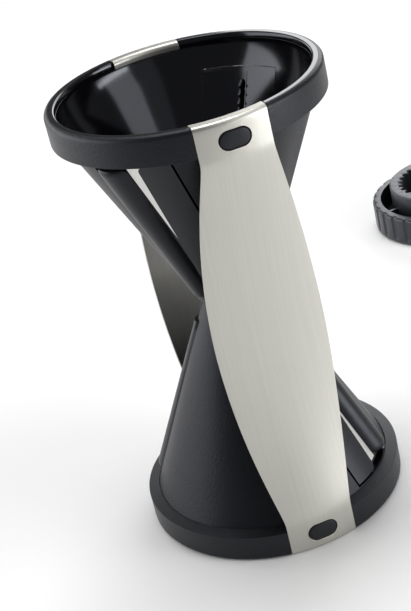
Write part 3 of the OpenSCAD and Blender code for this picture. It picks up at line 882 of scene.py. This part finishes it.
def sleeve_patch(h):
    """The holder's sleeve: a ring section turned round the axis, whose bore has triangular teeth.

    Within a tooth's pitch the bore is plain for three tenths, then narrows to the tip and back.
    """
    radius, bore, edge = h.sleeve_d / 2, h.sleeve_bore / 2, h.sleeve_edge
    section = np.concatenate([
        [[bore, h.holder_top], [radius, h.holder_top]],
        arc(radius - edge, h.sleeve_h - edge, edge, 0, 90, 4),
        arc(bore + edge, h.sleeve_h - edge, edge, 90, 180, 4),
        [[bore, h.holder_top]],
    ])
    r, z = section[:, :1], section[:, 1:]
    per_tooth = 20
    tip, half_tooth = 0.65, 0.35
    angle = np.linspace(0, 2 * math.pi, h.teeth * per_tooth + 1)
    place = np.mod(np.arange(len(angle)), per_tooth) / per_tooth
    tooth = h.tooth_depth * np.maximum(0, 1 - np.abs(place - tip) / half_tooth)
    reach = np.clip((radius - edge - r) / (radius - 2 * edge - bore), 0, 1)
    return open_grid(around(r - reach * tooth, angle, z) + holder_centre(h))


# Stage

def direction(azimuth, elevation):
    """Unit vector at an azimuth, measured from -Y towards +X, and an elevation."""
    level = math.cos(elevation)
    return Vector((math.sin(azimuth) * level, -math.cos(azimuth) * level, math.sin(elevation)))


def make_table(laminate):
    """A flat table, a hair under the plane that the object stands on."""
    half_side, hair = 0.6, 0.04 * MM
    reach = np.linspace(-half_side, half_side, 9)
    x, y = np.meshgrid(reach, reach)
    points = np.stack([x, y, np.full(x.shape, -hair)], axis=-1)
    mesh = bpy.data.meshes.new("table")
    mesh.from_pydata(points.reshape(-1, 3), [], grid_quads(*x.shape).reshape(-1, 4))
    mesh.materials.append(laminate)
    table = bpy.data.objects.new("table", mesh)
    bpy.context.scene.collection.objects.link(table)


def soft_box(name, target, azimuth, elevation, distance, sides, watts, spread=180):
    """A rectangular lamp, with two sides in metres, that faces the target from angles in degrees."""
    back = direction(math.radians(azimuth), math.radians(elevation))
    lamp = bpy.data.lights.new(name, "AREA")
    lamp.shape = "RECTANGLE"
    lamp.size, lamp.size_y = sides
    lamp.energy = watts
    lamp.spread = math.radians(spread)
    box = bpy.data.objects.new(name, lamp)
    box.location = target + back * distance
    box.rotation_euler = back.to_track_quat("Z", "Y").to_euler()
    bpy.context.scene.collection.objects.link(box)


def light_slicer(middle):
    """Soft boxes: one on the left, one overhead, two behind, three in front and one over the table."""
    soft_box("left_box", middle, azimuth=-116, elevation=16, distance=0.9, sides=(1.1, 0.8), watts=8)
    soft_box("top_box", middle, azimuth=165, elevation=77, distance=1.4, sides=(0.7, 0.7), watts=11)
    soft_box("back_box", middle, azimuth=196, elevation=14, distance=1.3, sides=(0.7, 0.5), watts=2.2)
    soft_box("right_box", middle, azimuth=143, elevation=20, distance=0.9, sides=(0.6, 0.45), watts=2.8)
    soft_box("side_box", middle, azimuth=46, elevation=14, distance=0.9, sides=(0.45, 0.8), watts=2.1)
    soft_box("low_box", middle, azimuth=50, elevation=4, distance=0.7, sides=(0.45, 0.25), watts=2.4)
    soft_box("front_box", middle, azimuth=20, elevation=16, distance=0.9, sides=(0.4, 0.7), watts=0.2)
    pool = Vector((0.2, -0.2, 0))
    soft_box("pool_box", pool, azimuth=34, elevation=78, distance=0.7, sides=(0.3, 0.3), watts=0.2,
             spread=80)


def make_room():
    """A room that is white to the camera, and dim in reflections, so that black stays black."""
    dim, reflected = 0.04, 0.16
    world = bpy.data.worlds.new("Studio")
    world.use_nodes = True
    tree = world.node_tree
    tree.nodes.clear()
    rays = add_node(tree, "ShaderNodeLightPath").outputs
    mirrored = add_node(tree, "ShaderNodeMath", {
        0: rays["Is Glossy Ray"], 1: rays["Is Transmission Ray"]
    }, operation="MAXIMUM")
    room = add_node(tree, "ShaderNodeMapRange", {
        "Value": mirrored.outputs["Value"], "To Min": dim, "To Max": reflected
    })
    level = add_node(tree, "ShaderNodeMath", {
        0: rays["Is Camera Ray"], 1: room.outputs["Result"]
    }, operation="MAXIMUM")
    glow = add_node(tree, "ShaderNodeBackground", {
        "Color": (1, 1, 1, 1), "Strength": level.outputs["Value"]
    })
    add_node(tree, "ShaderNodeOutputWorld", {"Surface": glow.outputs["Background"]})
    bpy.context.scene.world = world


def make_camera(middle):
    """The camera, from an azimuth, an elevation, a roll and a distance to the middle of the slicer."""
    azimuth, elevation, roll = (math.radians(a) for a in (-14.48, 26.89, -13.35))
    distance = 451.5 * MM
    focal_px = 1506.3
    middle_px = (232.7, 294.45)
    back = direction(azimuth, elevation)
    level = Vector((math.cos(azimuth), math.sin(azimuth), 0))
    lift = back.cross(level)
    right = level * math.cos(roll) + lift * math.sin(roll)
    up = lift * math.cos(roll) - level * math.sin(roll)
    data = bpy.data.cameras.new("camera")
    data.sensor_width = 36
    data.lens = focal_px * data.sensor_width / max(PICTURE)
    data.shift_x = (PICTURE[0] / 2 - middle_px[0]) / max(PICTURE)
    data.shift_y = (middle_px[1] - PICTURE[1] / 2) / max(PICTURE)
    data.clip_start = 10 * MM
    data.clip_end = 20
    camera = bpy.data.objects.new("camera", data)
    axes = Matrix((right, up, back)).transposed().to_4x4()
    camera.matrix_world = Matrix.Translation(middle + back * distance) @ axes
    bpy.context.scene.collection.objects.link(camera)
    bpy.context.scene.camera = camera


# Operators

# Each station's name, its half, and whether it is that half's first station
STATIONS = (
    ("upper_left", True, True), ("upper_right", True, False),
    ("lower_left", False, False), ("lower_right", False, True),
)
# Widths of the soft edges of moulded walls, of the rims and of the deburred bands
WALL_EDGE, RIM_EDGE, BAND_EDGE = 0.06 * MM, 0.2 * MM, 0.12 * MM


class SLICER_OT_funnels(Operator):
    """Makes both funnels, textured outside and polished inside"""

    bl_idname = "slicer.funnels"
    bl_label = "Funnels"
    bl_options = {"REGISTER", "UNDO"}

    def execute(self, context):
        m = Measures(context.scene.slicer)
        outside = textured_plastic(
            "ABS, moulded with a fine texture", m.finishes.body,
            grain=0.6 * MM, depth=0.12 * MM, roughness=0.42, specular=0.25,
        )
        inside = polished_plastic("ABS, moulded and polished", m.finishes.inside)
        for name, upper in (("upper_funnel", True), ("lower_funnel", False)):
            make_piece(name + "_shell", [funnel_patch(m, upper)], [outside, inside],
                       [name], bevel=WALL_EDGE)
        return {"FINISHED"}


class SLICER_OT_rims(Operator):
    """Makes both rims with the recesses for the bands"""

    bl_idname = "slicer.rims"
    bl_label = "Rims"
    bl_options = {"REGISTER", "UNDO"}

    def execute(self, context):
        m = Measures(context.scene.slicer)
        finish = textured_plastic(
            "ABS rim, moulded with a fine texture", m.finishes.rim,
            grain=0.6 * MM, depth=0.12 * MM, roughness=0.42, specular=0.33,
        )
        edge = polished_plastic("ABS rim, moulded and polished", m.finishes.inside)
        for name, top in (("upper_rim", True), ("base_rim", False)):
            make_piece(name + "_ring", [rim_patch(m, top)], [finish, edge], [name],
                       bevel=RIM_EDGE)
        return {"FINISHED"}


class SLICER_OT_bands(Operator):
    """Makes both steel bands from their middle surface"""

    bl_idname = "slicer.bands"
    bl_label = "Bands"
    bl_options = {"REGISTER", "UNDO"}

    def execute(self, context):
        m = Measures(context.scene.slicer)
        finish = brushed_steel(
            "Stainless steel, brushed", m.finishes.steel,
            streak=0.3 * MM, run=45 * MM, roughness=0.36,
        )
        for name, rear in (("front_band", False), ("rear_band", True)):
            piece = make_piece(name + "_sheet", [band_patch(m, rear)], [finish], [name])
            thicken = piece.modifiers.new("Sheet thickness", "SOLIDIFY")
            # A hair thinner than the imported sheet, to stay inside its box
            thicken.thickness = m.bands.band_t - 2 * MERGE
            thicken.offset = 0
            thicken.use_even_offset = True
            soften_edges(piece, BAND_EDGE, angle=math.radians(60))
        return {"FINISHED"}


class SLICER_OT_studs(Operator):
    """Makes the four studs that hold the bands"""

    bl_idname = "slicer.studs"
    bl_label = "Studs"
    bl_options = {"REGISTER", "UNDO"}

    def execute(self, context):
        m = Measures(context.scene.slicer)
        finish = textured_plastic(
            "Polyamide, moulded matt", m.finishes.stud,
            grain=0.4 * MM, depth=0.05 * MM, roughness=0.5, specular=0.35,
        )
        for side, rear in (("front", False), ("rear", True)):
            for end, top in (("top", True), ("base", False)):
                name = f"{side}_{end}_stud"
                make_piece(name + "_head", [stud_patch(m, top, rear)], [finish], [name])
        return {"FINISHED"}


class SLICER_OT_carriers(Operator):
    """Makes the lip and panel of each cutting station"""

    bl_idname = "slicer.carriers"
    bl_label = "Carriers"
    bl_options = {"REGISTER", "UNDO"}

    def execute(self, context):
        m = Measures(context.scene.slicer)
        outside = textured_plastic(
            "ABS insert, moulded satin", m.finishes.carrier,
            grain=0.45 * MM, depth=0.04 * MM, roughness=0.38, specular=0.32,
        )
        inside = polished_plastic("ABS insert, moulded and polished", m.finishes.inside)
        for name, upper, first in STATIONS:
            make_piece(name + "_insert", carrier_patches(m, upper, first), [outside, inside],
                       [name + "_carrier"], bevel=WALL_EDGE)
        return {"FINISHED"}


class SLICER_OT_blades(Operator):
    """Makes the blades and finishes their combs"""

    bl_idname = "slicer.blades"
    bl_label = "Blades and combs"
    bl_options = {"REGISTER", "UNDO"}

    def execute(self, context):
        m = Measures(context.scene.slicer)
        # Grinding leaves short fine marks; the combs' near-black colour is painted shade, for the dark
        # inside of the funnel around them
        marks = {"streak": 0.25 * MM, "run": 12 * MM}
        finish = brushed_steel("Blade steel, ground", m.finishes.blade, roughness=0.3, **marks)
        comb_painted_shade = brushed_steel("Comb steel, painted dark as shade", m.finishes.comb, roughness=0.25, **marks)
        for name, upper, first in STATIONS:
            make_piece(name + "_edge", [blade_patch(m, upper, first)], [finish],
                       [name + "_blade"])
            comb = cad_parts[name + "_comb"]
            comb.data.materials.clear()
            # The combs take the near-black steel, which is painted shade
            comb.data.materials.append(comb_painted_shade)
        return {"FINISHED"}


class SLICER_OT_holder(Operator):
    """Makes the food holder's cap and sleeve"""

    bl_idname = "slicer.holder"
    bl_label = "Food holder"
    bl_options = {"REGISTER", "UNDO"}

    def execute(self, context):
        m = Measures(context.scene.slicer)
        finish = textured_plastic(
            "ABS holder, moulded matt", m.finishes.holder,
            grain=0.5 * MM, depth=0.06 * MM, roughness=0.34, specular=0.55,
        )
        make_piece("holder_cap_skirt", cap_patches(m.holder), [finish],
                   ["holder_cap"], body="holder")
        make_piece("holder_sleeve_ring", [sleeve_patch(m.holder)], [finish],
                   ["holder_sleeve"], body="holder")
        return {"FINISHED"}


class SLICER_OT_stage(Operator):
    """Makes the table, the studio light and the camera"""

    bl_idname = "slicer.stage"
    bl_label = "Stage"
    bl_options = {"REGISTER", "UNDO"}

    def execute(self, context):
        m = Measures(context.scene.slicer)
        make_table(white_table("Laminate, white and matt", m.finishes.table))
        light_slicer(Vector((0, 0, m.half)))
        make_room()
        make_camera(Vector((0, 0, m.half)))
        context.scene.view_settings.view_transform = "Standard"
        return {"FINISHED"}


class SLICER_PT_pieces(Panel):
    """Lists the slicer's operators and settings"""

    bl_label = "Twist slicer"
    bl_idname = "SLICER_PT_pieces"
    bl_space_type = "VIEW_3D"
    bl_region_type = "UI"
    bl_category = "Slicer"

    def draw(self, context):
        for operator in OPERATORS:
            self.layout.operator(operator.bl_idname)
        slicer = context.scene.slicer
        for group_name in SlicerSettings.__annotations__:
            group = getattr(slicer, group_name)
            column = self.layout.box().column()
            for name in group.__annotations__:
                column.prop(group, name)


GROUPS = (BodySizes, RimSizes, BandSizes, StationSizes, HolderSizes, FinishColours, SlicerSettings)
OPERATORS = (
    SLICER_OT_stage, SLICER_OT_funnels, SLICER_OT_rims, SLICER_OT_bands, SLICER_OT_studs,
    SLICER_OT_carriers, SLICER_OT_blades, SLICER_OT_holder,
)


def register():
    """Registers the classes and puts the settings on the scene."""
    for item in GROUPS + OPERATORS + (SLICER_PT_pieces,):
        bpy.utils.register_class(item)
    bpy.types.Scene.slicer = PointerProperty(type=SlicerSettings)


def unregister():
    """Takes the settings and the classes away again."""
    del bpy.types.Scene.slicer
    for item in reversed(GROUPS + OPERATORS + (SLICER_PT_pieces,)):
        bpy.utils.unregister_class(item)


def main():
    """Makes the stage and every piece."""
    register()
    bpy.ops.slicer.stage()
    bpy.ops.slicer.funnels()
    bpy.ops.slicer.rims()
    bpy.ops.slicer.bands()
    bpy.ops.slicer.studs()
    bpy.ops.slicer.carriers()
    bpy.ops.slicer.blades()
    bpy.ops.slicer.holder()


if __name__ == "__main__":
    main()
